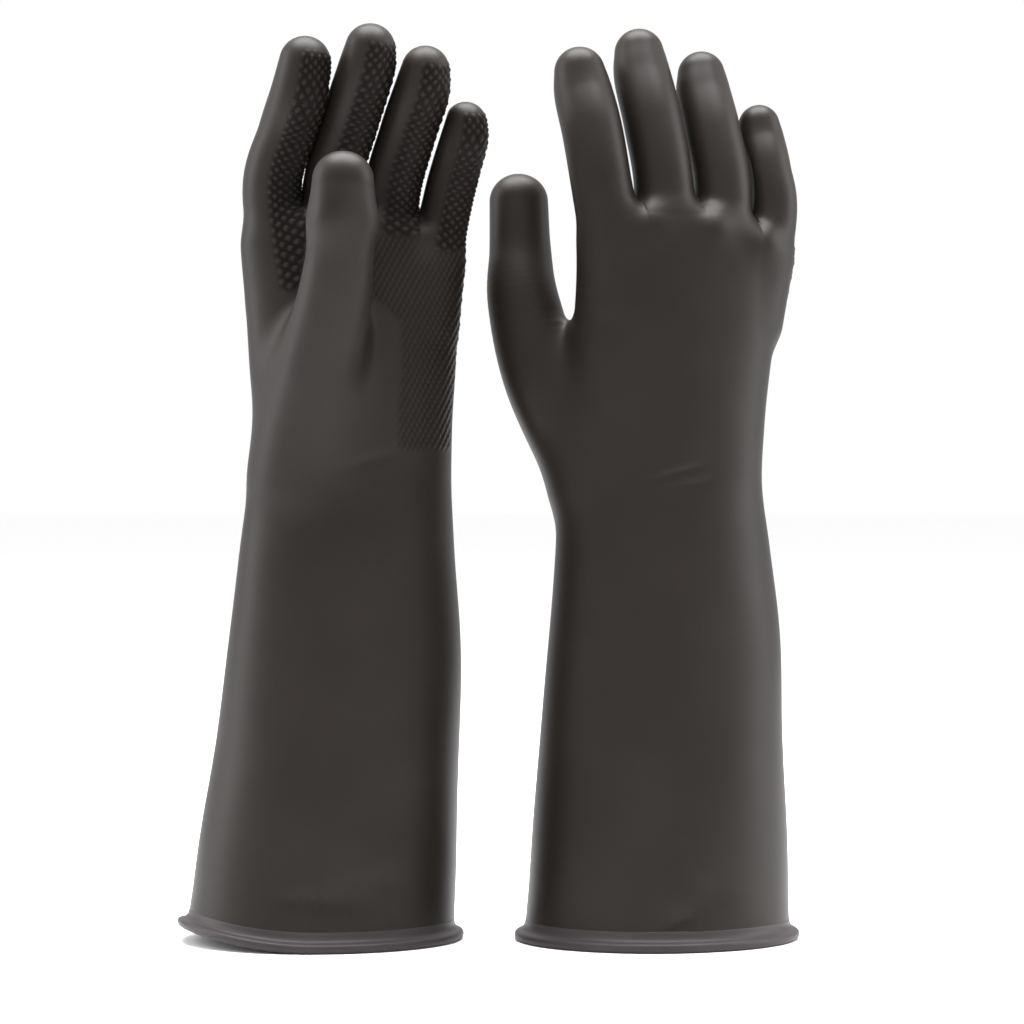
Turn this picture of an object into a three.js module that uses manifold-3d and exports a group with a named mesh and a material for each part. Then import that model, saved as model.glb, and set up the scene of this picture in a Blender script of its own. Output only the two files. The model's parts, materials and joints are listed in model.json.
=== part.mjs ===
// A pair of long electrical insulating gloves, standing on their open cuffs.
//
// Each glove is one dipped rubber moulding: a hollow wall 2 mm thick that is open at the cuff.
// The wall is parted at every line where the rubber bends, so each zone that moves is a solid
// of its own: cuff bead, gauntlet, hand, three zones to a finger and two to the thumb.
// Units are millimetres, +Z is up and the gloves face -Y: the left glove shows its palm there,
// the right glove its back. In a glove's own frame the thumb is at -X and the palm at palm * Y.

import * as THREE from "three";
import { mergeVertices } from "three/addons/utils/BufferGeometryUtils.js";
import Module from "manifold-3d";

const wasm = await Module();
wasm.setup();

const WALL = 2;
const GAP = 0.3;
const CUFF_SIDES = 24;
const FINGER_SIDES = 10;

// The gauntlet and the hand, from the cuff up: height, half width and half depth.
const PROFILE = [
  { z: 0, half: 58.9, depth: 52 },
  { z: 42, half: 56.8, depth: 49 },
  { z: 90, half: 54, depth: 44 },
  { z: 140, half: 50.7, depth: 38.5 },
  { z: 174, half: 47.6, depth: 34 },
  { z: 202, half: 44.8, depth: 30.5 },
  { z: 225, half: 44, depth: 29 },
  { z: 254, half: 45.6, depth: 27 },
  { z: 282, half: 46.8, depth: 24 },
  { z: 304, half: 47.6, depth: 20 },
  { z: 318, half: 45, depth: 13.5 },
];
const HAND_FROM = 202;
const HAND_TOP = 318;
const WRIST_TOP = 246;
const PALM_ROW = 7;
const ROW_SLOPE = THREE.MathUtils.degToRad(8);
const KNUCKLE_FALL = 0.006;
const KNUCKLE_CREST_X = -8;

// The bead: a rounded lip that stands out round the cuff and sits on a flat foot.
const BEAD_HEIGHT = 8;
const BEAD_PROFILE = [
  { out: -WALL, up: 0.8 },
  { out: -WALL + 0.8, up: 0 },
  { out: 2.6, up: 0 },
  { out: 4.1, up: 1.2 },
  { out: 4.4, up: 2.6 },
  { out: 3.6, up: 4 },
  { out: 1.2, up: 5.2 },
  { out: 0, up: BEAD_HEIGHT },
  { out: -WALL, up: BEAD_HEIGHT },
];

// Fingers: base position across the hand, base height, radius, zone lengths, resting curls.
const FINGERS = [
  { name: "index", x: -34.5, z: 327, radius: 12.8, lengths: [27, 23, 20], curls: [12, 24, 34] },
  { name: "middle", x: -8.9, z: 328, radius: 12.1, lengths: [31, 27, 22], curls: [14, 27, 38] },
  { name: "ring", x: 15.8, z: 325, radius: 11.5, lengths: [28.5, 24.5, 20.5], curls: [15, 28, 40] },
  { name: "little", x: 39, z: 317, radius: 10.8, lengths: [21.5, 17.5, 15.5], curls: [12, 24, 34] },
];
const FINGER_DEPTH = 1.08;
const ROOT_DEPTH = 46;
const ROOT_INWARD = 0.8;
const FINGER_TAPER = [1, 1, 0.98, 0.9];

// Each bend folds on a line this share of the radius towards the palm.
const FOLD_SHARE = 0.5;
const BENDS = {
  base: { flex: 60, extend: 10 },
  middle: { flex: 70, extend: 10 },
  tip: { flex: 48, extend: 8 },
  thumb: { flex: 45, extend: 10 },
  wrist: { flex: 20, extend: 10 },
};

// The thumb folds across the palm, a little away from it.
const THUMB_RADII = [19, 17.5, 15.6, 14.2, 12.4];
const THUMB_SWEEP = THREE.MathUtils.degToRad(15);

// How each glove stands: sideways drift of its middle line, lean of its fingers, its thumb.
const GLOVES = [
  {
    name: "left",
    palm: -1,
    x: -60.5,
    leans: [10.2, 10.2, 10.2, 8.5],
    shifts: [0.2, 0.4, 1, 1],
    lift: 6,
    drift: [-13.5, -9.9, -5.4, -2.1, -1.1, 0, 1.2, 1.2, 0.9, 0.9, 0.9],
    thumb: [[-20, 7, 206], [-18, 24, 248], [-15, 40, 281], [-15, 50, 308], [-15.5, 58, 332]],
  },
  {
    name: "right",
    palm: 1,
    x: 75.5,
    leans: [-7, -6, -5, -3.5],
    shifts: [-4.3, -1.4, 1.2, 1.4],
    lift: 0,
    drift: [-1, 0, 1.1, 2.2, 1.5, 0.8, 3, 5, 8.6, 11.6, 12],
    thumb: [[-28, 8, 205], [-47.5, 16, 245], [-56, 24, 279], [-56.5, 32, 304], [-56, 38, 326]],
  },
];
const YAW = THREE.MathUtils.degToRad(12);

const RUBBER = new THREE.MeshStandardMaterial({ color: 0x37332f, roughness: 0.62, metalness: 0 });
const BEAD_RUBBER = new THREE.MeshStandardMaterial({ color: 0x4c484a, roughness: 0.55, metalness: 0 });

// ---- Solids -------------------------------------------------------------------------------

function toManifold(geometry) {
  const bare = new THREE.BufferGeometry();
  bare.setAttribute("position", geometry.attributes.position);
  bare.setIndex(geometry.index);
  const merged = mergeVertices(bare, 1e-4);
  return new wasm.Manifold(new wasm.Mesh({
    numProp: 3,
    vertProperties: Float32Array.from(merged.attributes.position.array),
    triVerts: Uint32Array.from(merged.index.array),
  }));
}

function toGeometry(solid) {
  const mesh = solid.getMesh();
  const geometry = new THREE.BufferGeometry();
  geometry.setAttribute("position", new THREE.BufferAttribute(mesh.vertProperties, 3));
  geometry.setIndex(new THREE.BufferAttribute(mesh.triVerts, 1));
  return geometry;
}

// Closes a stack of rings of points into one solid, with a flat cap at each end.
function loftRings(rings) {
  const sides = rings[0].length;
  const positions = [];
  const index = [];
  for (const ring of rings) ring.forEach((point) => positions.push(point.x, point.y, point.z));
  for (let row = 0; row + 1 < rings.length; row++) {
    for (let side = 0; side < sides; side++) {
      const a = row * sides + side;
      const b = row * sides + ((side + 1) % sides);
      index.push(a, b, b + sides, a, b + sides, a + sides);
    }
  }
  const last = (rings.length - 1) * sides;
  for (let side = 1; side + 1 < sides; side++) {
    index.push(0, side + 1, side);
    index.push(last, last + side, last + side + 1);
  }
  const geometry = new THREE.BufferGeometry();
  geometry.setAttribute("position", new THREE.Float32BufferAttribute(positions, 3));
  geometry.setIndex(index);
  return toManifold(geometry);
}

// ---- The gauntlet and the hand -------------------------------------------------------------

// One ring round the glove. It turns towards the knuckle row as it nears the fingers.
function gloveRing(glove, row, inset, z = PROFILE[row].z) {
  const { half, depth } = PROFILE[row];
  const rise = THREE.MathUtils.clamp((z - HAND_FROM) / (HAND_TOP - HAND_FROM), 0, 1);
  const twist = glove.palm * ROW_SLOPE * rise;
  const fall = KNUCKLE_FALL * THREE.MathUtils.smoothstep(rise, 0.5, 1);
  return Array.from({ length: CUFF_SIDES }, (_, side) => {
    const angle = (2 * Math.PI * side) / CUFF_SIDES;
    const across = (half - inset) * Math.cos(angle);
    const through = (depth - inset) * Math.sin(angle);
    const x = across * Math.cos(twist) - through * Math.sin(twist);
    const y = across * Math.sin(twist) + through * Math.cos(twist);
    return new THREE.Vector3(x + glove.drift[row], y, z - fall * (x - KNUCKLE_CREST_X) ** 2);
  });
}

function handTube(glove, inset) {
  const rings = PROFILE.map((_, row) => gloveRing(glove, row, inset));
  if (inset === 0) return loftRings(rings);
  const top = PROFILE.length - 1;
  rings[0] = gloveRing(glove, 0, inset, -20);
  rings[top] = gloveRing(glove, top, inset, HAND_TOP - inset);
  return loftRings(rings);
}

function cuffBead(glove) {
  const sides = CUFF_SIDES;
  const count = BEAD_PROFILE.length;
  const positions = [];
  const index = [];
  for (let side = 0; side < sides; side++) {
    const angle = (2 * Math.PI * side) / sides;
    for (const { out, up } of BEAD_PROFILE) {
      positions.push((PROFILE[0].half + out) * Math.cos(angle) + glove.drift[0]);
      positions.push((PROFILE[0].depth + out) * Math.sin(angle), up);
    }
    for (let step = 0; step < count; step++) {
      const a = side * count + step;
      const b = side * count + ((step + 1) % count);
      const c = ((side + 1) % sides) * count + ((step + 1) % count);
      const d = ((side + 1) % sides) * count + step;
      index.push(a, d, c, a, c, b);
    }
  }
  const geometry = new THREE.BufferGeometry();
  geometry.setAttribute("position", new THREE.Float32BufferAttribute(positions, 3));
  geometry.setIndex(index);
  return toManifold(geometry);
}

// ---- Fingers and thumbs --------------------------------------------------------------------

// Rings square to a path, with a rounded end on the last point. The pad is the finger's palm side.
function fingerTube({ path, radii, pad }, inset) {
  const tangents = path.map((point, i) => {
    const before = path[Math.max(i - 1, 0)];
    const after = path[Math.min(i + 1, path.length - 1)];
    return after.clone().sub(before).normalize();
  });
  const ring = (centre, tangent, radius) => {
    const through = pad.clone().projectOnPlane(tangent).normalize();
    const side = through.clone().cross(tangent);
    return Array.from({ length: FINGER_SIDES }, (_, i) => {
      const angle = (2 * Math.PI * i) / FINGER_SIDES;
      return centre.clone()
        .addScaledVector(side, radius * Math.cos(angle))
        .addScaledVector(through, radius * FINGER_DEPTH * Math.sin(angle));
    });
  };
  const rings = path.map((point, i) => ring(point, tangents[i], radii[i] - inset));
  const end = path[path.length - 1];
  const endTangent = tangents[path.length - 1];
  const endRadius = radii[radii.length - 1] - inset;
  for (const turn of [32, 64]) {
    const angle = THREE.MathUtils.degToRad(turn);
    const centre = end.clone().addScaledVector(endTangent, endRadius * Math.sin(angle));
    rings.push(ring(centre, endTangent, endRadius * Math.cos(angle)));
  }
  return loftRings(rings);
}

// Which way a finger points: curled from upright towards the palm, and leaned sideways.
function direction(palm, lean, curl) {
  const angle = THREE.MathUtils.degToRad(curl);
  return new THREE.Vector3(
    Math.cos(angle) * Math.sin(lean), palm * Math.sin(angle), Math.cos(angle) * Math.cos(lean));
}

// A finger: the line down its middle, its radii and the three bends on it.
function fingerPlan(glove, finger, number) {
  const { palm } = glove;
  const lean = THREE.MathUtils.degToRad(glove.leans[number]);
  const handX = glove.drift[glove.drift.length - 1];
  const x = finger.x + glove.shifts[number];
  const y = palm * finger.x * Math.tan(ROW_SLOPE);
  const [first, second, third] = finger.lengths;
  const [firstCurl, secondCurl, thirdCurl] = finger.curls;
  const root = new THREE.Vector3(x * ROOT_INWARD + handX, y * ROOT_INWARD, finger.z - ROOT_DEPTH);
  const base = new THREE.Vector3(x + handX, y, finger.z);
  const middle = base.clone().addScaledVector(direction(palm, lean, firstCurl), first);
  const tip = middle.clone().addScaledVector(direction(palm, lean, secondCurl), second);
  const toEnd = third - finger.radius * FINGER_TAPER[3];
  const end = tip.clone().addScaledVector(direction(palm, lean, thirdCurl), toEnd);
  return {
    names: ["proximal", "middle", "distal"].map((zone) => `${glove.name}_${finger.name}_${zone}`),
    path: [root, base, middle, tip, end],
    radii: [finger.radius, ...FINGER_TAPER.map((share) => share * finger.radius)],
    pad: new THREE.Vector3(0, palm, 0),
    joints: [1, 2, 3],
    bends: ["base", "middle", "tip"],
  };
}

function thumbPlan(glove) {
  return {
    names: ["proximal", "distal"].map((zone) => `${glove.name}_thumb_${zone}`),
    path: glove.thumb.map(([x, y, z]) => new THREE.Vector3(x, glove.palm * y, z)),
    radii: THUMB_RADII,
    pad: new THREE.Vector3(Math.cos(THUMB_SWEEP), glove.palm * Math.sin(THUMB_SWEEP), 0),
    joints: [2, 3],
    bends: ["thumb", "thumb"],
  };
}

// ---- Bends ---------------------------------------------------------------------------------

// Where a finger folds: a line across it, near its pad.
function foldAt({ path, radii, pad }, joint) {
  const along = path[joint + 1].clone().sub(path[joint - 1]).normalize();
  const inward = pad.clone().projectOnPlane(along).normalize();
  const point = path[joint].clone().addScaledVector(inward, radii[joint] * FOLD_SHARE);
  return { point, along, inward, reach: radii[joint] * 2.4, width: radii[joint] + 0.1 };
}

function wristFold(glove) {
  return {
    point: new THREE.Vector3(glove.drift[5], 0, HAND_FROM - 3),
    along: new THREE.Vector3(0, 0, 1),
    inward: new THREE.Vector3(0, glove.palm, 0),
    reach: 60,
    width: 70,
  };
}

// The room that a bend needs: a wedge on the palm side to flex, and a thin one on the back.
function foldRoom(fold, bend) {
  const half = GAP / 2;
  const flexRise = fold.reach * Math.tan(THREE.MathUtils.degToRad(bend.flex / 2)) + half;
  const backRise = fold.reach * Math.tan(THREE.MathUtils.degToRad(bend.extend / 2)) + half;
  const outline = new THREE.Shape([
    new THREE.Vector2(0, half),
    new THREE.Vector2(-fold.reach, backRise),
    new THREE.Vector2(-fold.reach, -backRise),
    new THREE.Vector2(0, -half),
    new THREE.Vector2(fold.reach, -flexRise),
    new THREE.Vector2(fold.reach, flexRise),
  ]);
  const geometry = new THREE.ExtrudeGeometry(outline, { depth: 2 * fold.width, bevelEnabled: false });
  geometry.translate(0, 0, -fold.width);
  const across = fold.inward.clone().cross(fold.along);
  const placing = new THREE.Matrix4().makeBasis(fold.inward, fold.along, across);
  placing.setPosition(fold.point);
  return toManifold(geometry.applyMatrix4(placing));
}

// A hinge is a group on the fold line, with its X axis along it: turning it by a positive
// angle folds what it holds towards the palm.
function hinge(name, { point, along, inward }) {
  const group = new THREE.Group();
  group.name = name;
  const axis = along.clone().cross(inward);
  group.setRotationFromMatrix(new THREE.Matrix4().makeBasis(axis, along, inward.clone()));
  group.position.copy(point);
  return group;
}

// ---- Assembly ------------------------------------------------------------------------------

// The left glove's cuff rises a little from the floor at its thumb side.
function liftCuff(geometry, glove) {
  const position = geometry.attributes.position;
  for (let i = 0; i < position.count; i++) {
    const away = Math.max(0, (glove.drift[0] - 10 - position.getX(i)) / (PROFILE[0].half - 10));
    const fade = Math.max(0, 1 - position.getZ(i) / PROFILE[2].z);
    position.setZ(i, position.getZ(i) + glove.lift * away ** 2 * fade);
  }
}

function nodeMesh(name, solid, material, glove) {
  const geometry = toGeometry(solid);
  liftCuff(geometry, glove);
  geometry.computeVertexNormals();
  const mesh = new THREE.Mesh(geometry, material);
  mesh.name = name;
  return mesh;
}

// The hand's skin is three zones: the wrist, the palm and the ball of the thumb.
function handZones(glove, hand, thumb) {
  const half = GAP / 2;
  const ball = thumb.path[1].clone().lerp(thumb.path[2], 0.5);
  const away = new THREE.Vector3(ball.x - glove.drift[PALM_ROW], ball.y, 0).normalize();
  const palm = PROFILE[PALM_ROW];
  const edge = Math.hypot(palm.half * away.x, palm.depth * away.y) + glove.drift[PALM_ROW] * away.x;
  const above = hand.trimByPlane([0, 0, 1], WRIST_TOP + half);
  return {
    wrist: hand.trimByPlane([0, 0, -1], half - WRIST_TOP),
    palm: above.trimByPlane([-away.x, -away.y, 0], half - edge),
    thumb_ball: above.trimByPlane([away.x, away.y, 0], edge + half),
  };
}

function nearest(solids, point) {
  const distance = (solid) => {
    const { min, max } = solid.boundingBox();
    const centre = new THREE.Vector3(min[0] + max[0], min[1] + max[1], min[2] + max[2]);
    return centre.multiplyScalar(0.5).distanceTo(point);
  };
  return solids.reduce((best, solid) => (distance(solid) < distance(best) ? solid : best));
}

function buildGlove(glove) {
  const plans = FINGERS.map((finger, number) => fingerPlan(glove, finger, number));
  plans.push(thumbPlan(glove));
  const outside = plans.reduce(
    (solid, plan) => solid.add(fingerTube(plan, 0)), handTube(glove, 0));
  const inside = plans.reduce(
    (solid, plan) => solid.add(fingerTube(plan, WALL)), handTube(glove, WALL));
  const beadRoom = toManifold(
    new THREE.BoxGeometry(300, 300, 100).translate(0, 0, BEAD_HEIGHT + GAP - 50));
  const wrist = wristFold(glove);
  let wall = outside.subtract(inside).subtract(beadRoom).subtract(foldRoom(wrist, BENDS.wrist));
  for (const plan of plans) {
    plan.joints.forEach((joint, i) => {
      wall = wall.subtract(foldRoom(foldAt(plan, joint), BENDS[plan.bends[i]]));
    });
  }
  const zones = wall.decompose();

  const group = new THREE.Group();
  group.position.x = glove.x;
  group.rotation.z = YAW;
  const add = (parent, mesh) => {
    group.add(mesh);
    group.updateMatrixWorld(true);
    parent.attach(mesh);
  };
  const zone = (point) => nearest(zones, point);
  const shaft = new THREE.Vector3(0, 0, HAND_FROM / 2);
  const handMiddle = new THREE.Vector3(glove.drift[8], 0, (HAND_FROM + HAND_TOP) / 2);
  add(group, nodeMesh(`${glove.name}_cuff_bead`, cuffBead(glove), BEAD_RUBBER, glove));
  add(group, nodeMesh(`${glove.name}_gauntlet`, zone(shaft), RUBBER, glove));
  const wristHinge = hinge(`${glove.name}_wrist_hinge`, wrist);
  group.add(wristHinge);
  const handSkin = handZones(glove, zone(handMiddle), plans[plans.length - 1]);
  for (const [name, solid] of Object.entries(handSkin)) {
    add(wristHinge, nodeMesh(`${glove.name}_${name}`, solid, RUBBER, glove));
  }
  for (const plan of plans) {
    let parent = wristHinge;
    plan.joints.forEach((joint, i) => {
      const pivot = hinge(`${plan.names[i]}_hinge`, foldAt(plan, joint));
      group.add(pivot);
      group.updateMatrixWorld(true);
      parent.attach(pivot);
      const midway = plan.path[joint].clone().lerp(plan.path[joint + 1], 0.5);
      add(pivot, nodeMesh(plan.names[i], zone(midway), RUBBER, glove));
      parent = pivot;
    });
  }
  return group;
}

const pair = new THREE.Group();
for (const glove of GLOVES) pair.add(buildGlove(glove));

// The origin is on the floor, under the middle of the pair.
const middle = new THREE.Box3().setFromObject(pair, true).getCenter(new THREE.Vector3());
pair.position.set(-middle.x, -middle.y, 0);

export default pair;
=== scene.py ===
"""A pair of long black rubber insulating gloves, standing on their open cuffs.

Each glove's skin is worked out as one smooth field: an oval sleeve that runs into the palm, with
rounded finger stalls blended onto it. The field is turned into a fine mesh, the grip pattern and
the creases are raised on it, and the mesh is parted into pieces where the rubber bends. A glove's
own frame is in millimetres: x runs from the thumb's side to the little finger's, y towards the
palm's side and z up.
"""

import json
import math

import bmesh
import bpy
import numpy as np
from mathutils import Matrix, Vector


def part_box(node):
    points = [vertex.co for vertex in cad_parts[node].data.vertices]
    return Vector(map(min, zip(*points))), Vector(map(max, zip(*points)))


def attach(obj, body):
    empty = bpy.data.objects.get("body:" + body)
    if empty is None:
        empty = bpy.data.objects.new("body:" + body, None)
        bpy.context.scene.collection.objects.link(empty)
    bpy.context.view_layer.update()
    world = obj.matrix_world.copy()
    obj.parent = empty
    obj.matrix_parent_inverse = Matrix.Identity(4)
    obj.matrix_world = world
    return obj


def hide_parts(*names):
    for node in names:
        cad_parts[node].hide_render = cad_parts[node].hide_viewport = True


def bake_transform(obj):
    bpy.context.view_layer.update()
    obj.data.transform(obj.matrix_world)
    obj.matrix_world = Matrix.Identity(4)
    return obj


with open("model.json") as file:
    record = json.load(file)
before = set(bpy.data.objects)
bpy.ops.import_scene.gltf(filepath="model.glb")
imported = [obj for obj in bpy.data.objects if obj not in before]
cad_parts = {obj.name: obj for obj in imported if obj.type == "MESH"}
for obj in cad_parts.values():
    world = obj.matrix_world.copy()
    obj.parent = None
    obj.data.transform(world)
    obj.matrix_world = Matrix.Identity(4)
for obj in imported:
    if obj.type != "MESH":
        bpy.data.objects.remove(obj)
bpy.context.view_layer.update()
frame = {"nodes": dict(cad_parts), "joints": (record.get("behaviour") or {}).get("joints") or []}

MM = 0.001
WALL = 2.0
YAW = math.radians(12)

# The sleeve and the palm from the cuff up: heights, half widths and half depths.
HEIGHTS = [0, 42, 90, 140, 174, 202, 225, 254, 282, 304, 318]
HALF_WIDTHS = [58.9, 56.8, 54, 50.7, 47.6, 44.8, 44, 45.6, 46.8, 47.6, 46.5]
HALF_DEPTHS = [52, 49, 44, 38.5, 34, 30.5, 29, 27, 24, 20, 16]
HAND_FROM = 202
HAND_TOP = 321
ROW_SLOPE = math.radians(8)
KNUCKLE_FALL = 0.006
KNUCKLE_CREST_X = -8
KNUCKLE_ROUND = 9
CUFF_LIFT_REACH = 90

FINGERS = ["index", "middle", "ring", "little"]
FINGER_RADIUS = {"index": 13.3, "middle": 13.0, "ring": 12.5, "little": 10.9}
FINGER_TAPER = [1.0, 1.0, 1.0, 0.97, 0.84]
FINGER_DEPTH = 1.06
ROOT_DEPTH = 46
ROOT_INWARD = 0.8
FOLD_SHARE = 0.5
THUMB_RADII = [19, 17.4, 15.2, 13.1, 12.4]
THUMB_SWEEP = math.radians(15)
FINGER_BLEND = 9
THUMB_BLEND = 14

# The clear space between two stalls that would touch.
SLOT = 1.8

# Straight links between two knots of a stall's middle line, and how far past one its skin can lie.
LINKS = 9
LINK_REACH = 16

# The stretch of skin before and after each fold. Only the start of a stall's first one is used, to
# part its skin; the others are passed on but not used.
WRIST_BEND = (-16, 16)
BASE_BEND = (-3, 9)
FINGER_BEND = (-6, 6.5)
THUMB_BASE_BEND = (6, 17)
THUMB_BEND = (-6, 6.5)
PART_EARLY = 1.0
FINGER_PART = 0.53
THUMB_PART = 0.7

# The beaded lip round each cuff, as (out, up) from the sleeve's outer face at the foot.
BEAD_OUTLINE = [
    (-2.05, 8.2), (-2.05, 0.9), (-1.2, 0.0), (2.5, 0.0), (3.6, 0.4), (4.2, 1.4), (4.35, 2.5),
    (4.0, 3.5), (3.1, 4.2), (1.9, 4.7), (0.95, 5.6), (0.35, 6.9), (0.02, 8.9), (-0.9, 8.9)]

CELL = 1.0
SLEEVE_CELL = 4.0
SLEEVE_FOOT = 4.0

# The webs bulge a little below the slots between the fingers.
WEB_DROP = 14
WEB_HEIGHT = 3.0

# Studs on the fingers: where they start along each finger, and the arc round it that they cover.
GRIP_FOOT = {"index": -36, "middle": -10, "ring": -10, "little": -10}
GRIP_PITCH = 3.2
GRIP_HEIGHT = 0.6
GRIP_TURN = math.radians(34)
GRIP_HALF_ARC = math.radians(50)

# Slanting ribs on the palm.
RIB_PITCH = 2.4
RIB_HEIGHT = 0.42
RIB_LEAN = math.radians(30)

# Of each glove: palm is the side it faces, lift how far the thumb's side of its cuff is raised,
# covers its stalls that stand in front of a neighbour, apart those with a clear gap, web_shift
# how far the webs bulge towards the little finger, the sways how far a stall leans over past its
# hinges for each millimetre up, index_reach how far the index passes its solid's tip, and drift
# how far the sleeve's middle lies over at each of HEIGHTS.

GLOVES = {
    "left": {
        "palm": -1,
        "x": -60.5,
        "lift": 6,
        "covers": [("middle", "index"), ("ring", "middle")],
        "apart": [("ring", "little")],
        "web_shift": 0,
        "finger_sway": 0.045,
        "thumb_sway": 0.032,
        "index_reach": 4,
        "drift": [-13.5, -9.9, -5.4, -2.1, -1.1, 0, 1.2, 1.2, 0.9, 0.9, 0.9],
        "thumb_root": [(-20, 7, 206), (-18, 24, 248)],
    },
    "right": {
        "palm": 1,
        "x": 75.5,
        "lift": 0,
        "covers": [("index", "middle"), ("middle", "ring"), ("ring", "little")],
        "apart": [],
        "web_shift": 5,
        "finger_sway": 0,
        "thumb_sway": 0,
        "index_reach": 0,
        "drift": [-1, 0, 1.1, 2.2, 1.5, 0.8, 3, 5, 8.6, 11.6, 12],
        "thumb_root": [(-28, 8, 205), (-47.5, 16, 245)],
    },
}

# Creases and dents: side, where, which way they run, half length, half width and depth.
CREASES = [
    ("left", (-56, -20, 57), (0.9, 0.2, 0.3), 9, 2.2, 0.9),
    ("left", (-20, 50, 22), (1.0, 0.1, -0.02), 60, 3.5, 1.1),
    ("left", (20, 48, 30), (1.0, -0.1, 0.05), 45, 4.0, 0.9),
    ("left", (8, 30, 212), (1.0, 0.0, 0.25), 16, 3.0, 0.5),
    ("right", (-4, -52, 13), (0.9, 0.0, 0.35), 14, 2.6, 1.6),
    ("right", (12, -51, 24), (0.8, 0.0, -0.5), 10, 5.0, 1.2),
    ("right", (2, -30, 206), (1.0, 0.0, 0.25), 14, 1.8, 0.55),
    ("right", (10, -30, 201), (1.0, 0.0, 0.15), 18, 2.2, 0.5),
    ("right", (-30, -38, 160), (0.7, 0.0, 0.7), 16, 3.5, 0.5),
]


# ---- Frames ----------------------------------------------------------------------------------


def pair_shift():
    """How far the pair was moved to stand over the origin, from where the right cuff stands."""
    low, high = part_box("right_cuff_bead")
    centre = (low + high) / (2 * MM)
    drift = GLOVES["right"]["drift"][0]
    x = centre.x - drift * math.cos(YAW) - GLOVES["right"]["x"]
    return x, centre.y - drift * math.sin(YAW)


SHIFT_X, SHIFT_Y = pair_shift()


def turn_to_row(glove, vectors):
    """Directions in a glove's own frame to the row frame."""
    x, y, z = vectors.T
    through = y * glove["palm"]
    row_x = x * math.cos(YAW) - through * math.sin(YAW)
    row_y = x * math.sin(YAW) + through * math.cos(YAW)
    return np.stack([row_x, row_y, z], axis=1)


def to_row(glove, points):
    """Points in a glove's own frame, in millimetres, to the row frame, in metres."""
    return (turn_to_row(glove, points) + [glove["x"] + SHIFT_X, SHIFT_Y, 0]) * MM


def turn_to_glove(glove, vectors):
    """Directions in the row frame to a glove's own frame."""
    x, y, z = vectors.T
    across = x * math.cos(YAW) + y * math.sin(YAW)
    through = y * math.cos(YAW) - x * math.sin(YAW)
    return np.stack([across, through * glove["palm"], z], axis=1)


def to_glove(glove, points):
    """Points in the row frame, in metres, to a glove's own frame, in millimetres."""
    return turn_to_glove(glove, points / MM - [glove["x"] + SHIFT_X, SHIFT_Y, 0])


# ---- Curves and blends -----------------------------------------------------------------------


def smooth_through(at, knots, values):
    """A smooth curve through values at knots, read at each of at."""
    knots = np.asarray(knots, float)
    values = np.asarray(values, float)
    slopes = np.gradient(values, knots, axis=0)
    at = np.clip(at, knots[0], knots[-1])
    i = np.clip(np.searchsorted(knots, at, side="right") - 1, 0, len(knots) - 2)
    step = knots[i + 1] - knots[i]
    t = (at - knots[i]) / step
    if values.ndim > 1:
        t = t[:, None]
        step = step[:, None]
    level = (2 * t**3 - 3 * t**2 + 1) * values[i] + (3 * t**2 - 2 * t**3) * values[i + 1]
    bend = (t**3 - 2 * t**2 + t) * slopes[i] + (t**3 - t**2) * slopes[i + 1]
    return level + bend * step


def smooth_step(low, high, value):
    t = np.clip((value - low) / (high - low), 0, 1)
    return t * t * (3 - 2 * t)


def smooth_min(a, b, reach):
    h = np.clip(0.5 + 0.5 * (b - a) / reach, 0, 1)
    return b + (a - b) * h - reach * h * (1 - h)


def smooth_max(a, b, reach):
    return -smooth_min(-a, -b, reach)


# ---- Finger stalls ---------------------------------------------------------------------------


def hinge_of(glove, body):
    """The fold line of a body's hinge in its glove's own frame: a point and a direction."""
    joint = next(joint for joint in frame["joints"] if joint["child"] == body)
    point = to_glove(glove, np.array([joint["pos_m"]], float))[0]
    axis = turn_to_glove(glove, np.array([joint["axis"]], float))[0]
    return point, axis


def tip_of(glove, node):
    """The middle of the very end of a fingertip's solid."""
    corners = np.array([vertex.co[:] for vertex in frame["nodes"][node].data.vertices])
    end = corners[corners[:, 2] > corners[:, 2].max() - 2 * MM].mean(axis=0)
    return to_glove(glove, end[None])[0]


def square_to(vector, way):
    """The part of vector that is square to way, one unit long."""
    part = vector - way * (vector @ way)
    return part / np.linalg.norm(part)


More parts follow.
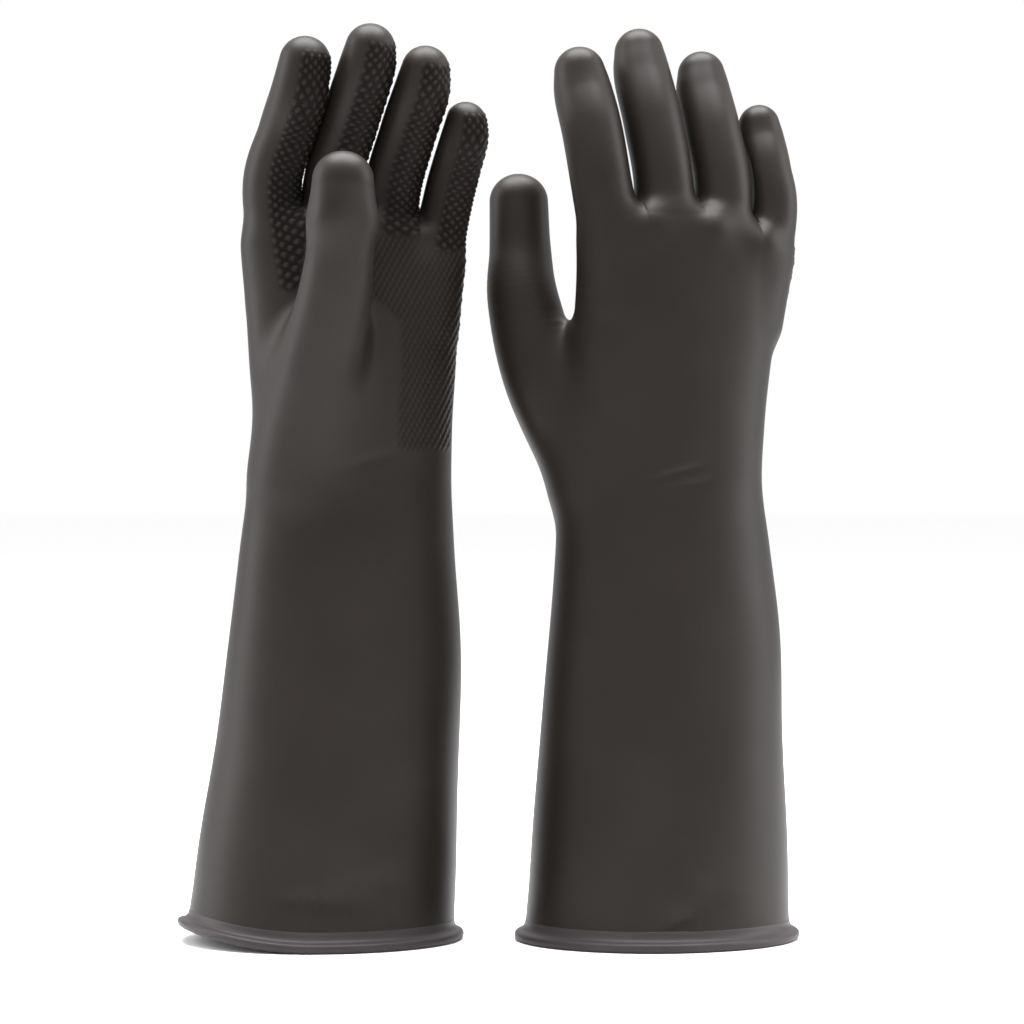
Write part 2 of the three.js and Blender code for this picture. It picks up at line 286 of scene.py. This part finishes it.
def stall_plan(side, name, zones):
    """One stall: its middle line, its radii, and the middle and run of the rubber at each fold."""
    glove = GLOVES[side]
    thumb = name == "thumb"
    sweep = THUMB_SWEEP if thumb else math.pi / 2
    pad = np.array([math.cos(sweep), math.sin(sweep), 0])
    bodies = [f"{side}_{name}_{zone}" for zone in zones]
    radii = THUMB_RADII if thumb else [FINGER_RADIUS[name] * share for share in FINGER_TAPER]
    hinges = [hinge_of(glove, body) for body in bodies]
    tip = tip_of(glove, bodies[-1])
    targets = [point for point, _ in hinges[1:]] + [tip]
    middles = []
    runs = []
    for number, ((fold, axis), target) in enumerate(zip(hinges, targets)):
        run = square_to(target - fold, axis)
        radius = radii[number + (2 if thumb else 1)]
        middles.append(fold - square_to(pad, run) * radius * FOLD_SHARE)
        runs.append(run)
    heading = tip - middles[-1]
    reach = glove["index_reach"] if name == "index" else 0
    end = tip + heading / np.linalg.norm(heading) * (reach - radii[-1])
    if thumb:
        roots = [np.array(point, float) for point in glove["thumb_root"]]
    else:
        hand_x = glove["drift"][-1]
        x, y, z = middles[0]
        roots = [np.array([(x - hand_x) * ROOT_INWARD + hand_x, y * ROOT_INWARD, z - ROOT_DEPTH])]
    path = np.array(roots + middles + [end])
    sway = glove["thumb_sway" if thumb else "finger_sway"]
    path[:, 0] += sway * np.maximum(0, path[:, 2] - path[0, 2] - ROOT_DEPTH)
    knots = np.arange(len(path), dtype=float)
    at = np.linspace(0, len(path) - 1, (len(path) - 1) * LINKS + 1)
    return {
        "thumb": thumb,
        "grip_foot": GRIP_FOOT.get(name, 0),
        "bodies": bodies,
        "middles": middles,
        "runs": runs,
        "pad": pad,
        "line": smooth_through(at, knots, path),
        "radii": smooth_through(at, knots, radii),
    }


def glove_plans(side):
    plans = [stall_plan(side, name, ["proximal", "middle", "distal"]) for name in FINGERS]
    return plans + [stall_plan(side, "thumb", ["proximal", "distal"])]


def stall_links(plan):
    """Each short straight link of a stall's middle line, with its own directions."""
    line = plan["line"]
    for number in range(len(line) - 1):
        start = line[number]
        length = np.linalg.norm(line[number + 1] - start)
        along = (line[number + 1] - start) / length
        inward = square_to(plan["pad"], along)
        yield number, start, length, along, inward, np.cross(inward, along)


def stall_distance(plan, points):
    """Distance from points to the stall's rounded, slightly deep-sided skin."""
    radii = plan["radii"]
    best = np.full(len(points), 1e3)
    for number, start, length, along, inward, across in stall_links(plan):
        close = np.abs(points[:, 2] - start[2]) < length + radii[number] + LINK_REACH
        off = points[close] - start
        run = off @ along
        t = np.clip(run, 0, length)
        gap = np.sqrt((run - t) ** 2 + ((off @ inward) / FINGER_DEPTH) ** 2 + (off @ across) ** 2)
        radius = radii[number] + (radii[number + 1] - radii[number]) * t / length
        best[close] = np.minimum(best[close], gap - radius)
    return best


def stall_place(plan, points):
    """Where points lie on a stall: the angle round it from its pad, and the length along it."""
    best = np.full(len(points), 1e9)
    angle = np.zeros(len(points))
    length_along = np.zeros(len(points))
    covered = 0.0
    for _, start, length, along, inward, across in stall_links(plan):
        off = points - start
        run = off @ along
        deep = off @ inward
        wide = off @ across
        gap = (run - np.clip(run, 0, length)) ** 2 + deep**2 + wide**2
        nearer = gap < best
        best = np.where(nearer, gap, best)
        angle = np.where(nearer, np.arctan2(wide, deep), angle)
        length_along = np.where(nearer, covered + run, length_along)
        covered += length
    return angle, length_along, covered


def past_base(plan, points):
    """How far points lie past a stall's first fold."""
    return (points - plan["middles"][0]) @ plan["runs"][0]


def parts_of(plan):
    """Where a stall's skin is parted, as a point and the way the rubber runs there."""
    bend = THUMB_BASE_BEND if plan["thumb"] else BASE_BEND
    yield plan["middles"][0] + plan["runs"][0] * (bend[0] - PART_EARLY), plan["runs"][0]
    share = THUMB_PART if plan["thumb"] else FINGER_PART
    for before, after, run in zip(plan["middles"], plan["middles"][1:], plan["runs"]):
        yield before * (1 - share) + after * share, run


# ---- The glove's field -----------------------------------------------------------------------


def knuckle_line(glove, x):
    return HAND_TOP - KNUCKLE_FALL * (x - glove["drift"][-1] - KNUCKLE_CREST_X) ** 2


def palm_distance(glove, x, y, z):
    """Distance to the oval sleeve and palm, rounded off along the knuckles."""
    half = smooth_through(z, HEIGHTS, HALF_WIDTHS)
    depth = smooth_through(z, HEIGHTS, HALF_DEPTHS)
    off = x - smooth_through(z, HEIGHTS, glove["drift"])
    twist = ROW_SLOPE * np.clip((z - HAND_FROM) / (HAND_TOP - HAND_FROM), 0, 1)
    across = off * np.cos(twist) + y * np.sin(twist)
    through = y * np.cos(twist) - off * np.sin(twist)
    near = np.hypot(across / half, through / depth)
    steep = np.hypot(across / half**2, through / depth**2)
    side = near * (near - 1) / np.maximum(steep, 1e-6)
    return smooth_max(side, z - knuckle_line(glove, x), KNUCKLE_ROUND)


def stall_distances(glove, plans, points):
    """Distance from points to each stall, with a slot between neighbours that would touch."""
    own = np.stack([stall_distance(plan, points) for plan in plans], axis=1)
    above = points[:, 2] - knuckle_line(glove, points[:, 0]) - 1
    for front, back in glove["covers"]:
        front, back = FINGERS.index(front), FINGERS.index(back)
        hollow = np.minimum(SLOT - own[:, front], above)
        own[:, back] = smooth_max(own[:, back], hollow, 0.8)
    for first, second in glove["apart"]:
        first, second = FINGERS.index(first), FINGERS.index(second)
        past_middle = (own[:, first] - own[:, second]) / 2
        own[:, first] = np.maximum(own[:, first], np.minimum(SLOT / 2 + past_middle, above))
        own[:, second] = np.maximum(own[:, second], np.minimum(SLOT / 2 - past_middle, above))
    return own


def stall_blend(plan, points):
    """How softly a stall joins the palm. The ball of the thumb is broad and its crotch crisp."""
    if not plan["thumb"]:
        return FINGER_BLEND
    return THUMB_BLEND - (THUMB_BLEND - 3) * smooth_step(-14, 4, past_base(plan, points))


def glove_field(glove, plans, xs, ys, zs):
    """The glove's field on a grid: below 0 inside the rubber's outer face and above it outside."""
    x, y, z = np.meshgrid(xs, ys, zs, indexing="ij")
    points = np.stack([x.ravel(), y.ravel(), z.ravel()], axis=1)
    palm = palm_distance(glove, *points.T)
    field = palm.copy()
    lines = np.concatenate([plan["line"] for plan in plans])
    reach = THUMB_RADII[0] + 12
    near = np.all((points > lines.min(axis=0) - reach) & (points < lines.max(axis=0) + reach), axis=1)
    own = stall_distances(glove, plans, points[near])
    for plan, distance in zip(plans, own.T):
        joined = smooth_min(distance, palm[near], stall_blend(plan, points[near]))
        field[near] = np.minimum(field[near], joined)
    return field.reshape(x.shape)


def surface_net(field, places):
    """Vertices and quads of the surface where the field is 0, one vertex to each cell it crosses."""
    inside = field < 0
    spans = [n - 1 for n in field.shape]
    steps = np.eye(3, dtype=int)
    count = np.zeros(spans, np.int8)
    corners = [(i, j, k) for i in (0, 1) for j in (0, 1) for k in (0, 1)]
    for i, j, k in corners:
        count += inside[i:i + spans[0], j:j + spans[1], k:k + spans[2]]
    cells = np.argwhere((count > 0) & (count < 8))
    number = np.full(spans, -1, np.int64)
    number[tuple(cells.T)] = np.arange(len(cells))
    total = np.zeros((len(cells), 3))
    hits = np.zeros(len(cells))
    for corner in corners:
        for axis in range(3):
            if corner[axis]:
                continue
            low = cells + corner
            high = low + steps[axis]
            at_low = field[tuple(low.T)]
            at_high = field[tuple(high.T)]
            crossed = (at_low < 0) != (at_high < 0)
            share = np.where(crossed, at_low / np.where(crossed, at_low - at_high, 1), 0)
            for n, line in enumerate(places):
                start = line[low[:, n]]
                total[:, n] += np.where(crossed, start + (line[high[:, n]] - start) * share, 0)
            hits += crossed
    quads = []
    for axis in range(3):
        u = (axis + 1) % 3
        v = (axis + 2) % 3
        below = np.take(inside, range(inside.shape[axis] - 1), axis=axis)
        above = np.take(inside, range(1, inside.shape[axis]), axis=axis)
        edges = np.argwhere(below != above)
        edges = edges[(edges[:, u] > 0) & (edges[:, v] > 0)]
        edges = edges[(edges[:, u] < spans[u]) & (edges[:, v] < spans[v])]
        ring = [edges - steps[u] - steps[v], edges - steps[v], edges, edges - steps[u]]
        quad = np.stack([number[tuple(cell.T)] for cell in ring], axis=1)
        outward = below[tuple(edges.T)]
        quad[~outward] = quad[~outward][:, ::-1]
        quads.append(quad)
    return total / hits[:, None], np.concatenate(quads)


def read_grid(grid, places, points):
    """The grid's values at points, taken between its samples."""
    low = []
    share = []
    for n, line in enumerate(places):
        i = np.clip(np.searchsorted(line, points[:, n]) - 1, 0, len(line) - 2)
        low.append(i)
        share.append(np.clip((points[:, n] - line[i]) / (line[i + 1] - line[i]), 0, 1))
    found = np.zeros(len(points))
    for corner in [(i, j, k) for i in (0, 1) for j in (0, 1) for k in (0, 1)]:
        weight = np.ones(len(points))
        for part, high in zip(share, corner):
            weight = weight * (part if high else 1 - part)
        found += weight * grid[tuple(i + high for i, high in zip(low, corner))]
    return found


def settle(field, places, vertices):
    """Moves vertices onto the field's surface. Gives them with the outward direction at each."""
    slopes = np.gradient(field, *places)
    for _ in range(3):
        slope = np.stack([read_grid(part, places, vertices) for part in slopes], axis=1)
        size = np.maximum(np.linalg.norm(slope, axis=1), 0.3)
        normals = slope / size[:, None]
        value = read_grid(field, places, vertices)
        vertices = vertices - normals * np.clip(value / size, -0.5, 0.5)[:, None]
    return vertices, normals / np.linalg.norm(normals, axis=1)[:, None]


# ---- Relief: grip pattern, creases and the soft waviness of dipped rubber --------------------


def palm_cover(glove, points):
    """How fully the palm's grip pattern covers points. It leaves the ball of the thumb smooth."""
    x, y, z = points.T
    off = x - smooth_through(z, HEIGHTS, glove["drift"])
    edge = np.interp(z, [206, 234, 250, 271, 283, 292, 300], [15, 15, 17, 17, 5, -2, -8])
    side = np.interp(z, [212, 250, 290, 310], [9, 6, 0, -3])
    cover = smooth_step(-2, 2, off - edge) * smooth_step(-2, 3, y - side)
    return cover * smooth_step(213, 218, z) * (1 - smooth_step(316, 322, z))


def grip_cover(glove, plans, points):
    """How fully the palm's and the fingers' patterns cover points, and where on a finger."""
    x, _, z = points.T
    on_palm = palm_cover(glove, points)
    distance = stall_distances(glove, plans, points)
    owner = distance.argmin(axis=1)
    on_palm *= smooth_step(2.5, 7.0, distance[:, -1])
    for web in webs(glove, plans):
        on_palm *= 1 - np.exp(-((x - web[0]) / 6) ** 2 - ((z - web[2]) / 8) ** 2)
    on_finger = np.zeros(len(points))
    u = np.zeros(len(points))
    v = np.zeros(len(points))
    for number, plan in enumerate(plans[:-1]):
        mine = (owner == number) & (distance[:, number] < 7)
        angle, along, length = stall_place(plan, points[mine])
        turn = (angle - GRIP_TURN + np.pi) % (2 * np.pi) - np.pi
        past = past_base(plan, points[mine])
        cover = 1 - smooth_step(GRIP_HALF_ARC - 0.12, GRIP_HALF_ARC + 0.16, np.abs(turn))
        start = smooth_step(plan["grip_foot"] - 4, plan["grip_foot"], past)
        cover *= start * (1 - smooth_step(length + 3, length + 7, along))
        on_finger[mine] = cover
        on_palm[mine] *= 1 - start
        u[mine] = turn * plan["radii"][5]
        v[mine] = along
    return on_palm, on_finger, u, v


def webs(glove, plans):
    """The middle of each web of rubber between two fingers."""
    shift = np.array([glove["web_shift"], 0, -WEB_DROP])
    for first, second in zip(plans[:3], plans[1:4]):
        yield (first["middles"][0] + second["middles"][0]) / 2 + shift


def crease_depth(side, points):
    """How deep the side's creases and dents are at each point."""
    depth = np.zeros(len(points))
    for of_side, where, way, half_length, half_width, deep in CREASES:
        if of_side != side:
            continue
        off = points - np.array(where, float)
        way = np.array(way) / np.linalg.norm(way)
        along = off @ way
        apart = np.sqrt(np.maximum((off**2).sum(axis=1) - along**2, 0))
        depth += deep * np.exp(-(apart / half_width) ** 2 - (along / half_length) ** 2)
    return depth


def relief(side, plans, points):
    """How far each point of the skin is raised, and how deep it lies between the grip's studs, for
    painted shade.
    """
    glove = GLOVES[side]
    on_palm, on_finger, u, v = grip_cover(glove, plans, points)
    turn = 2 * np.pi / (GRIP_PITCH * math.sqrt(2))
    studs = (0.5 + 0.5 * np.cos(turn * (u + v))) * (0.5 + 0.5 * np.cos(turn * (u - v)))
    x, y, z = points.T
    rib_across = x * math.cos(RIB_LEAN) - z * math.sin(RIB_LEAN)
    rib_along = x * math.sin(RIB_LEAN) + z * math.cos(RIB_LEAN) + 0.5 * rib_across
    ribs = 0.5 + 0.5 * np.cos(2 * np.pi * rib_across / RIB_PITCH)
    ribs *= 0.7 + 0.3 * np.cos(2 * np.pi * rib_along / RIB_PITCH)
    raised = GRIP_HEIGHT * studs * on_finger + RIB_HEIGHT * ribs * on_palm
    for web in webs(glove, plans):
        raised += WEB_HEIGHT * np.exp(-((x - web[0]) / 8) ** 2 - ((z - web[2]) / 10) ** 2)
    raised -= crease_depth(side, points)
    angle = np.arctan2(y, x)
    phase = 0.7 if side == "left" else 2.1
    waves = np.sin(2 * angle + z / 23 + phase) * np.sin(z / 31 - phase)
    waves += 0.5 * np.sin(5 * angle - z / 17 + 2 * phase)
    raised += 0.35 * waves * (1 - smooth_step(200, 240, z)) * smooth_step(4, 30, z)
    # Painted shade: the hollows between the studs and ribs, where the rubber is coloured darker and
    # made less shiny.
    hollow = on_finger * (1 - studs) + on_palm * (0.6 - 0.6 * ribs)
    return raised, np.clip(hollow, 0, 1)


# ---- Meshes ----------------------------------------------------------------------------------


def zone_of(glove, plans, points):
    """Each point's piece of skin: 0 for the sleeve and palm, then each stall's own in turn."""
    distance = stall_distances(glove, plans, points)
    owner = distance.argmin(axis=1)
    zone = np.zeros(len(points), int)
    first = 1
    for number, plan in enumerate(plans):
        mine = (owner == number) & (distance[:, number] < 5)
        for joint, (point, way) in enumerate(parts_of(plan)):
            mine &= (points - point) @ way > 0
            zone[mine] = first + joint
        first += len(plan["middles"])
    return zone


def cut_skin(plans, vertices, quads):
    """The skin as an edit mesh, with clean edges where it is parted."""
    mesh = bpy.data.meshes.new("skin")
    mesh.from_pydata(vertices.tolist(), [], quads.tolist())
    work = bmesh.new()
    work.from_mesh(mesh)
    bpy.data.meshes.remove(mesh)
    for plan in plans:
        for point, way in parts_of(plan):
            work.faces.ensure_lookup_table()
            centres = np.array([face.calc_center_median()[:] for face in work.faces])
            near = np.abs((centres - point) @ way) < 3
            near[near] = stall_distance(plan, centres[near]) < 6
            faces = [work.faces[number] for number in np.flatnonzero(near)]
            edges = {edge for face in faces for edge in face.edges}
            corners = {vertex for face in faces for vertex in face.verts}
            cut = list(corners) + list(edges) + faces
            bmesh.ops.bisect_plane(work, geom=cut, dist=0.02, plane_co=point, plane_no=way)
    return work


def halve_grip(work, glove, plans):
    """Halves the edges under the grip pattern, so that its bumps are round."""
    work.verts.ensure_lookup_table()
    work.verts.index_update()
    places = np.array([vertex.co[:] for vertex in work.verts])
    on_palm, on_finger, _, _ = grip_cover(glove, plans, places)
    covered = np.maximum(on_palm, on_finger) > 0.02
    edges = [edge for edge in work.edges if all(covered[vertex.index] for vertex in edge.verts)]
    bmesh.ops.subdivide_edges(work, edges=edges, cuts=1, use_grid_fill=True)


def lift_cuff(glove, points):
    """Raises the thumb's side of a cuff that doesn't stand flat."""
    away = np.maximum(0, (glove["drift"][0] - 10 - points[:, 0]) / (HALF_WIDTHS[0] - 10))
    fade = np.maximum(0, 1 - points[:, 2] / CUFF_LIFT_REACH)
    lifted = points.copy()
    lifted[:, 2] += glove["lift"] * away**2 * fade
    return lifted


def glove_grid(plans):
    """The grid's places along x, y and z: fine over the hand, coarse up the sleeve."""
    lines = np.concatenate([plan["line"] for plan in plans])
    low = np.minimum(lines.min(axis=0) - 22, [-78, -58, 0])
    high = np.maximum(lines.max(axis=0) + 18, [70, 58, 0])
    sleeve = np.arange(SLEEVE_FOOT - 2 * SLEEVE_CELL, HAND_FROM - 8, SLEEVE_CELL)
    hand = np.arange(HAND_FROM - 7, high[2] + CELL, CELL)
    xs = np.arange(low[0], high[0] + CELL, CELL)
    ys = np.arange(low[1], high[1] + CELL, CELL)
    return xs, ys, np.concatenate([sleeve, hand])


def glove_skin(side, plans):
    """A glove's whole skin: outer and inner vertices, faces and how hollow the grip is there."""
    glove = GLOVES[side]
    places = glove_grid(plans)
    field = glove_field(glove, plans, *places)
    vertices, quads = surface_net(field, places)
    work = cut_skin(plans, vertices, quads)
    halve_grip(work, glove, plans)
    work.verts.ensure_lookup_table()
    work.verts.index_update()
    outer = np.array([vertex.co[:] for vertex in work.verts])
    faces = [[vertex.index for vertex in face.verts] for face in work.faces]
    work.free()
    outer, normals = settle(field, places, outer)
    inner = outer - normals * WALL
    raised, hollow = relief(side, plans, outer)
    faces = [face for face in faces if outer[face, 2].mean() > SLEEVE_FOOT]
    outer = outer + normals * raised[:, None]
    return lift_cuff(glove, outer), lift_cuff(glove, inner), faces, hollow


def vertex_normals(vertices, faces):
    mesh = bpy.data.meshes.new("whole")
    mesh.from_pydata(vertices.tolist(), [], faces)
    normals = np.zeros(len(vertices) * 3, np.float32)
    mesh.vertex_normals.foreach_get("vector", normals)
    bpy.data.meshes.remove(mesh)
    return normals.reshape(-1, 3)


def add_piece(name, vertices, faces, material):
    mesh = bpy.data.meshes.new(name)
    mesh.from_pydata(vertices.tolist(), [], faces)
    mesh.polygons.foreach_set("use_smooth", [True] * len(mesh.polygons))
    mesh.materials.append(material)
    piece = bpy.data.objects.new(name, mesh)
    bpy.context.scene.collection.objects.link(piece)
    return piece


def shell_piece(name, skin, numbers, material):
    """A closed shell: some of the skin's faces, the inner wall behind them and the rims between."""
    faces = [skin["faces"][number] for number in numbers]
    used = np.unique(np.concatenate(faces))
    place = dict(zip(used.tolist(), range(len(used))))
    count = len(used)
    outside = [[place[v] for v in face] for face in faces]
    inside = [[v + count for v in reversed(face)] for face in outside]
    sides = {(a, b) for face in outside for a, b in zip(face, face[1:] + face[:1])}
    rims = [[b, a, a + count, b + count] for a, b in sorted(sides) if (b, a) not in sides]
    vertices = np.concatenate([skin["outer"][used], skin["inner"][used]])
    piece = add_piece(name, vertices, outside + inside + rims, material)
    normals = np.concatenate([skin["normals"][used], -skin["normals"][used]])
    piece.data.normals_split_custom_set_from_vertices(normals.tolist())
    # The grip's hollows go to the material as painted shade; the inner wall gets none.
    hollow = np.concatenate([skin["hollow"][used], np.zeros(count)])
    attribute = piece.data.attributes.new("hollow", "FLOAT", "POINT")
    attribute.data.foreach_set("value", hollow.astype(np.float32))
    return piece


def bend_between(piece, glove, start, end):
    start, end = to_row(glove, np.array([start, end]))
    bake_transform(piece)


def add_skin(side, material):
    """The glove's skin, as one piece for every fold that it bends across."""
    glove = GLOVES[side]
    plans = glove_plans(side)
    outer, inner, faces, hollow = glove_skin(side, plans)
    centres = np.array([outer[face].mean(axis=0) for face in faces])
    zones = zone_of(glove, plans, centres)
    if glove["palm"] < 0:
        faces = [face[::-1] for face in faces]
    outer = to_row(glove, outer)
    skin = {
        "outer": outer, "inner": to_row(glove, inner), "faces": faces, "hollow": hollow,
        "normals": vertex_normals(outer, faces)}
    hand = f"{side}_hand"
    sleeve = f"{side}_gauntlet"
    replaced = [sleeve] + [f"{side}_{part}" for part in ("wrist", "palm", "thumb_ball")]
    piece = shell_piece(f"{side}_sleeve_and_palm_skin", skin, np.flatnonzero(zones == 0), material)
    wrist, _ = hinge_of(glove, hand)
    start, end = ([wrist[0], 0, wrist[2] + reach] for reach in WRIST_BEND)
    bend_between(piece, glove, start, end)
    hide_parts(*replaced)
    zone = 0
    for plan in plans:
        bend = THUMB_BASE_BEND if plan["thumb"] else BASE_BEND
        for body, middle, run in zip(plan["bodies"], plan["middles"], plan["runs"]):
            zone += 1
            piece = shell_piece(f"{body}_skin", skin, np.flatnonzero(zones == zone), material)
            bend_between(piece, glove, middle + run * bend[0], middle + run * bend[1])
            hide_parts(body)
            bend = THUMB_BEND if plan["thumb"] else FINGER_BEND


def add_bead(side, material):
    """The beaded lip round a cuff: its outline swept round the sleeve's foot."""
    glove = GLOVES[side]
    closed = np.array(BEAD_OUTLINE + BEAD_OUTLINE[:1], float)
    steps = np.arange(len(closed))
    outline = smooth_through(np.linspace(0, len(closed) - 1, 57)[:-1], steps, closed)
    turns = 160
    angles = np.linspace(0, 2 * np.pi, turns + 1)[:-1]
    rows = []
    for out, up in outline:
        half, depth, drift = (
            smooth_through(np.array([up]), HEIGHTS, values)[0]
            for values in (HALF_WIDTHS, HALF_DEPTHS, glove["drift"]))
        way = np.stack([np.cos(angles) / half, np.sin(angles) / depth])
        way /= np.linalg.norm(way, axis=0)
        x = half * np.cos(angles) + way[0] * out + drift
        y = depth * np.sin(angles) + way[1] * out
        rows.append(np.stack([x, y, np.full(turns, max(up, 0))], axis=1))
    vertices = lift_cuff(glove, np.concatenate(rows))
    faces = []
    for row in range(len(rows)):
        above = (row + 1) % len(rows) * turns
        for turn in range(turns):
            onward = (turn + 1) % turns
            faces.append([row * turns + turn, row * turns + onward, above + onward, above + turn])
    if glove["palm"] < 0:
        faces = [face[::-1] for face in faces]
    piece = add_piece(f"{side}_cuff_lip", to_row(glove, vertices), faces, material)
    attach(piece, f"{side}_gauntlet")
    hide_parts(f"{side}_cuff_bead")


# ---- Materials -------------------------------------------------------------------------------


def rubber(name, colour, roughness):
    """Matt dipped rubber, a little dusty, with a faint grain, and painted shade in the grip's
    hollows.
    """
    material = bpy.data.materials.new(name)
    material.use_nodes = True
    nodes = material.node_tree.nodes
    links = material.node_tree.links
    shader = nodes["Principled BSDF"]
    place = nodes.new("ShaderNodeTexCoord")
    clouds = nodes.new("ShaderNodeTexNoise")
    clouds.inputs["Scale"].default_value = 26
    clouds.inputs["Detail"].default_value = 4
    links.new(place.outputs["Object"], clouds.inputs["Vector"])
    tone = nodes.new("ShaderNodeValToRGB")
    tone.color_ramp.elements[0].position = 0.35
    tone.color_ramp.elements[0].color = (*[c * 0.86 for c in colour], 1)
    tone.color_ramp.elements[1].position = 0.7
    tone.color_ramp.elements[1].color = (*[c * 1.16 for c in colour], 1)
    links.new(clouds.outputs["Fac"], tone.inputs["Fac"])
    # Painted shade: in the grip's hollows the colour is mixed towards half its tone.
    hollow = nodes.new("ShaderNodeAttribute")
    hollow.attribute_name = "hollow"
    shade = nodes.new("ShaderNodeMixRGB")
    links.new(hollow.outputs["Fac"], shade.inputs["Fac"])
    links.new(tone.outputs["Color"], shade.inputs["Color1"])
    shade.inputs["Color2"].default_value = (*[c * 0.5 for c in colour], 1)
    links.new(shade.outputs["Color"], shader.inputs["Base Color"])
    shader.inputs["Roughness"].default_value = roughness
    # Painted shade: the shine is weaker in the grip's hollows.
    sheen = nodes.new("ShaderNodeMapRange")
    sheen.inputs["To Min"].default_value = 0.17
    sheen.inputs["To Max"].default_value = 0.05
    links.new(hollow.outputs["Fac"], sheen.inputs["Value"])
    links.new(sheen.outputs["Result"], shader.inputs["Specular IOR Level"])
    grain = nodes.new("ShaderNodeTexNoise")
    grain.inputs["Scale"].default_value = 1400
    grain.inputs["Detail"].default_value = 3
    links.new(place.outputs["Object"], grain.inputs["Vector"])
    bump = nodes.new("ShaderNodeBump")
    bump.inputs["Strength"].default_value = 0.12
    bump.inputs["Distance"].default_value = 0.0002
    links.new(grain.outputs["Fac"], bump.inputs["Height"])
    links.new(bump.outputs["Normal"], shader.inputs["Normal"])
    return material


def floor_material():
    material = bpy.data.materials.new("floor_white")
    material.use_nodes = True
    shader = material.node_tree.nodes["Principled BSDF"]
    shader.inputs["Base Color"].default_value = (0.97, 0.97, 0.97, 1)
    shader.inputs["Roughness"].default_value = 0.7
    return material


# ---- Studio ----------------------------------------------------------------------------------


def soft_light(name, place, aim, size, power):
    data = bpy.data.lights.new(name, "AREA")
    data.shape = "RECTANGLE"
    data.size = size[0]
    data.size_y = size[1]
    data.energy = power
    lamp = bpy.data.objects.new(name, data)
    lamp.location = place
    lamp.rotation_euler = (Vector(aim) - Vector(place)).to_track_quat("-Z", "Y").to_euler()
    bpy.context.scene.collection.objects.link(lamp)


def build_studio():
    world = bpy.data.worlds.new("studio")
    world.use_nodes = True
    nodes = world.node_tree.nodes
    nodes["Background"].inputs["Color"].default_value = (1, 1, 1, 1)
    nodes["Background"].inputs["Strength"].default_value = 1.0
    bpy.context.scene.world = world
    reach = 6
    mesh = bpy.data.meshes.new("floor")
    corners = [(-reach, -reach, 0), (reach, -reach, 0), (reach, reach, 0), (-reach, reach, 0)]
    mesh.from_pydata(corners, [], [(0, 1, 2, 3)])
    mesh.materials.append(floor_material())
    floor = bpy.data.objects.new("floor", mesh)
    bpy.context.scene.collection.objects.link(floor)
    middle = (0, 0, 0.2)
    soft_light("top_light", (0.0, 0.15, 1.4), middle, (1.3, 0.9), 62)
    soft_light("left_light", (-1.5, 0.2, 0.7), middle, (0.7, 1.3), 17)
    soft_light("right_light", (1.5, 0.2, 0.7), middle, (0.7, 1.3), 17)


def build_camera():
    data = bpy.data.cameras.new("camera")
    data.sensor_width = 36
    data.lens = 160
    camera = bpy.data.objects.new("camera", data)
    camera.location = (0.0102, -1.992, 0.25)
    camera.rotation_euler = (math.radians(90 - 1.78), 0, 0)
    bpy.context.scene.collection.objects.link(camera)
    bpy.context.scene.camera = camera


black = rubber("black_rubber", (0.0112, 0.0087, 0.0073), 0.46)
# The lip's rubber is painted lighter and bluer than the body's, a painted highlight along the bead.
beaded = rubber("bead_painted_highlight", (0.034, 0.029, 0.031), 0.44)
for side in GLOVES:
    add_skin(side, black)
    add_bead(side, beaded)
build_studio()
build_camera()
bpy.context.scene.view_settings.view_transform = "Standard"
